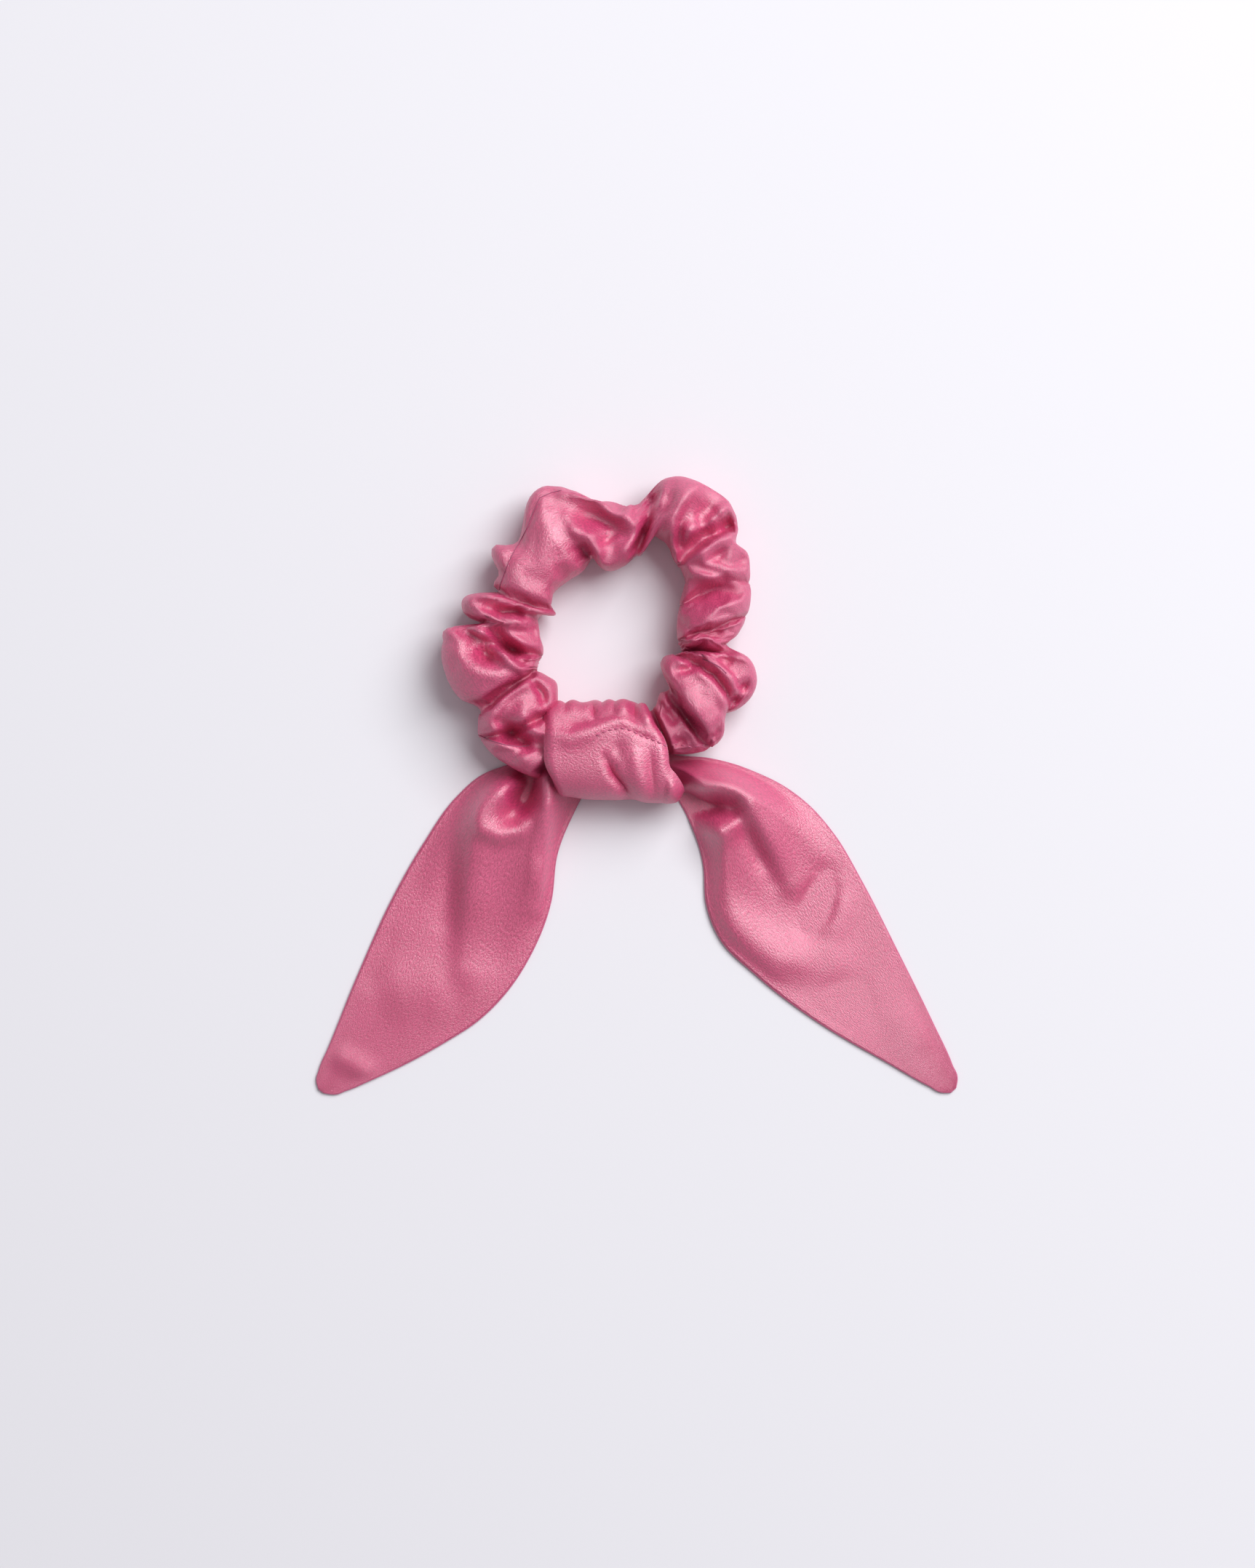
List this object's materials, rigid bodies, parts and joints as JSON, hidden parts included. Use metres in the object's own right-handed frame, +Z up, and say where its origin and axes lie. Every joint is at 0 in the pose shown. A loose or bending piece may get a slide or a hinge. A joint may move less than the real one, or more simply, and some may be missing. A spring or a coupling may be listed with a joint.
{
  "type": "scrunchie",
  "caption": "Gathered satin hair scrunchie on an elastic loop, with a satin scarf knotted round it and two pointed tails.",
  "frame": {"origin": "centre of the hair opening, on the table that the scrunchie lies on", "axes": "+Z up from the table through the hair opening, -Y from the opening to the knot and the tails, +X to the right seen from above"},
  "size_m": [0.1981, 0.1917, 0.0213],
  "materials": {
    "satin": "dusty rose satin, warp-faced, soft sheen",
    "braided_elastic": "matt braided elastic, off-white",
    "thread": "matched polyester sewing thread"
  },
  "bodies": {
    "ring_left": {"casing_left": "satin", "casing_left_seam_thread": "thread", "elastic_band": "braided_elastic", "elastic_bartack": "thread"},
    "ring_right": {"casing_right": "satin", "casing_right_seam_thread": "thread", "casing_closing_stitches": "thread"},
    "knot": {"knot_back_loop": "satin", "knot_front_band": "satin", "knot_cross_strand": "satin", "knot_closing_stitches": "thread", "left_tail_throat": "satin", "right_tail_throat": "satin"},
    "left_tail": {"left_tail_face": "satin", "left_tail_back": "satin", "left_tail_edge_thread": "thread"},
    "right_tail": {"right_tail_face": "satin", "right_tail_back": "satin", "right_tail_edge_thread": "thread"}
  },
  "joints": [
    {"name": "ring_stretch", "type": "slide", "parent": "ring_left", "child": "ring_right", "axis": [1, 0, 0], "range_m": [0, 0.06], "stiffness_N_per_m": 80, "deforming": ["elastic_band"]},
    {"name": "knot_centre", "type": "slide", "parent": "ring_left", "child": "knot", "axis": [1, 0, 0], "range_m": [0, 0.03]},
    {"name": "left_tail_lift", "type": "hinge", "parent": "knot", "child": "left_tail", "pos_m": [-0.02736, -0.06348, 0.001], "axis": [-0.7944, 0.6074, 0], "range_deg": [0, 110]},
    {"name": "right_tail_lift", "type": "hinge", "parent": "knot", "child": "right_tail", "pos_m": [0.03866, -0.0604, 0.001], "axis": [-0.7455, -0.6665, 0], "range_deg": [0, 110]}
  ],
  "couplings": [
    {"joint": "knot_centre", "follows": "ring_stretch", "ratio": 0.5}
  ]
}
